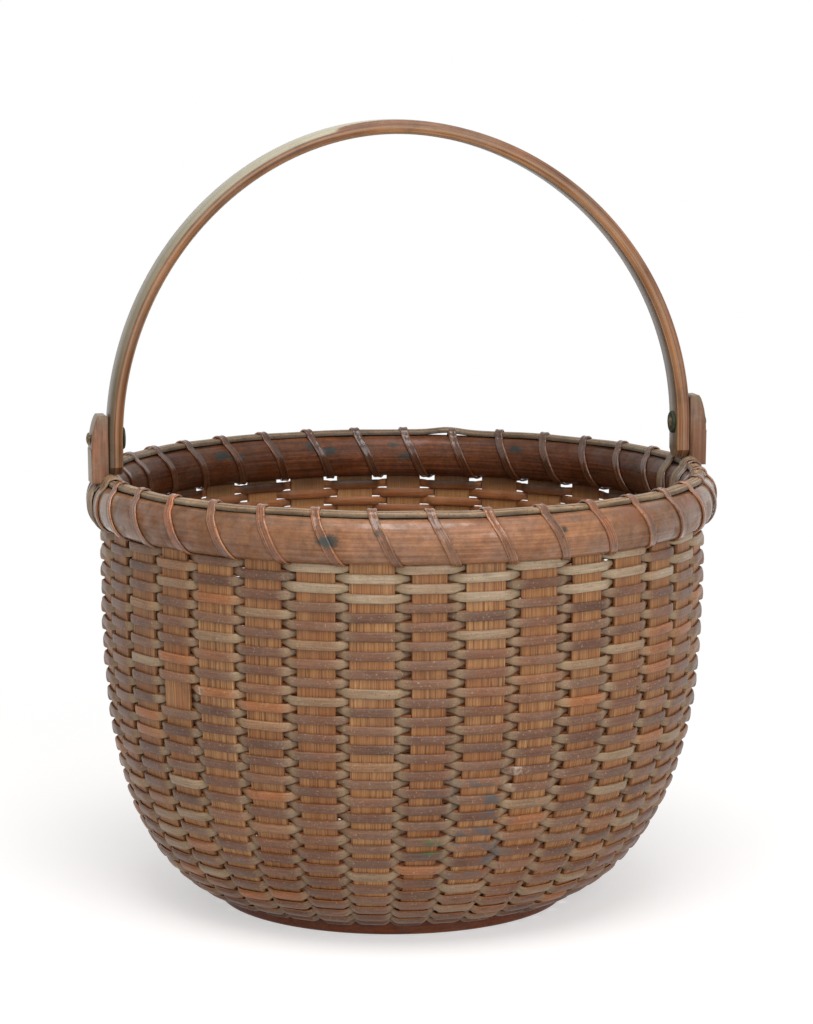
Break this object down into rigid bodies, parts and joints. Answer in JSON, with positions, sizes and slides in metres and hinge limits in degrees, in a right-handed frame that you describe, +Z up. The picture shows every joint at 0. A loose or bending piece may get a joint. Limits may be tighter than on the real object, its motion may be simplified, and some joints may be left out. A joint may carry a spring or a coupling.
{
  "type": "round woven basket with swing handle",
  "caption": "Round cane basket woven over split staves on a turned wooden base, with a lashed half-round rim and a wooden bow handle that swings on riveted ears.",
  "frame": {"origin": "centre of the base plate's underside, on the surface the basket stands on", "axes": "+Z up, +X along the handle's hinge axis from the left ear towards the right ear, -Y towards the front"},
  "size_m": [0.2594, 0.2582, 0.3188],
  "materials": {
    "turned_base_wood": "dark red-brown turned hardwood, worn satin",
    "stave_wood": "golden to reddish brown split wood, fine upright grain, aged",
    "weaving_cane": "aged rattan cane, mauve to orange brown with grey-tan strands, dry satin",
    "outer_hoop_wood": "polished orange-brown half-round wood",
    "inner_hoop_wood": "dark chocolate brown half-round wood, satin",
    "cover_cane": "pale grey-tan split cane, dry",
    "lashing_cane": "brown flat cane, satin with glossy spots",
    "ear_wood": "mid reddish-brown carved hardwood, greyed edges",
    "handle_wood": "mid reddish-brown bent hardwood, greyed outer face, satin",
    "rivet_brass": "dull aged brass",
    "burr_brass": "aged brass with green verdigris"
  },
  "bodies": {
    "basket": {"base_plate": "turned_base_wood", "stave_01": "stave_wood", "stave_02": "stave_wood", "stave_03": "stave_wood", "stave_04": "stave_wood", "stave_05": "stave_wood", "stave_06": "stave_wood", "stave_07": "stave_wood", "stave_08": "stave_wood", "stave_09": "stave_wood", "stave_10": "stave_wood", "stave_11": "stave_wood", "stave_12": "stave_wood", "stave_13": "stave_wood", "stave_14": "stave_wood", "stave_15": "stave_wood", "stave_16": "stave_wood", "stave_17": "stave_wood", "stave_18": "stave_wood", "stave_19": "stave_wood", "stave_20": "stave_wood", "stave_21": "stave_wood", "stave_22": "stave_wood", "stave_23": "stave_wood", "stave_24": "stave_wood", "stave_25": "stave_wood", "stave_26": "stave_wood", "stave_27": "stave_wood", "stave_28": "stave_wood", "stave_29": "stave_wood", "stave_30": "stave_wood", "stave_31": "stave_wood", "stave_32": "stave_wood", "stave_33": "stave_wood", "stave_34": "stave_wood", "stave_35": "stave_wood", "cane_weave": "weaving_cane", "outer_rim_hoop": "outer_hoop_wood", "inner_rim_hoop": "inner_hoop_wood", "rim_cover_strand": "cover_cane", "rim_lashing": "lashing_cane", "left_ear": "ear_wood", "right_ear": "ear_wood", "left_rivet": "rivet_brass", "right_rivet": "rivet_brass", "left_burr": "burr_brass", "right_burr": "burr_brass"},
    "handle": {"handle_bow": "handle_wood"}
  },
  "joints": [
    {"name": "handle_swing", "type": "hinge", "parent": "basket", "child": "handle", "pos_m": [0.0045, 0, 0.1927], "axis": [1, 0, 0], "range_deg": [-93.1, 93.1]}
  ]
}
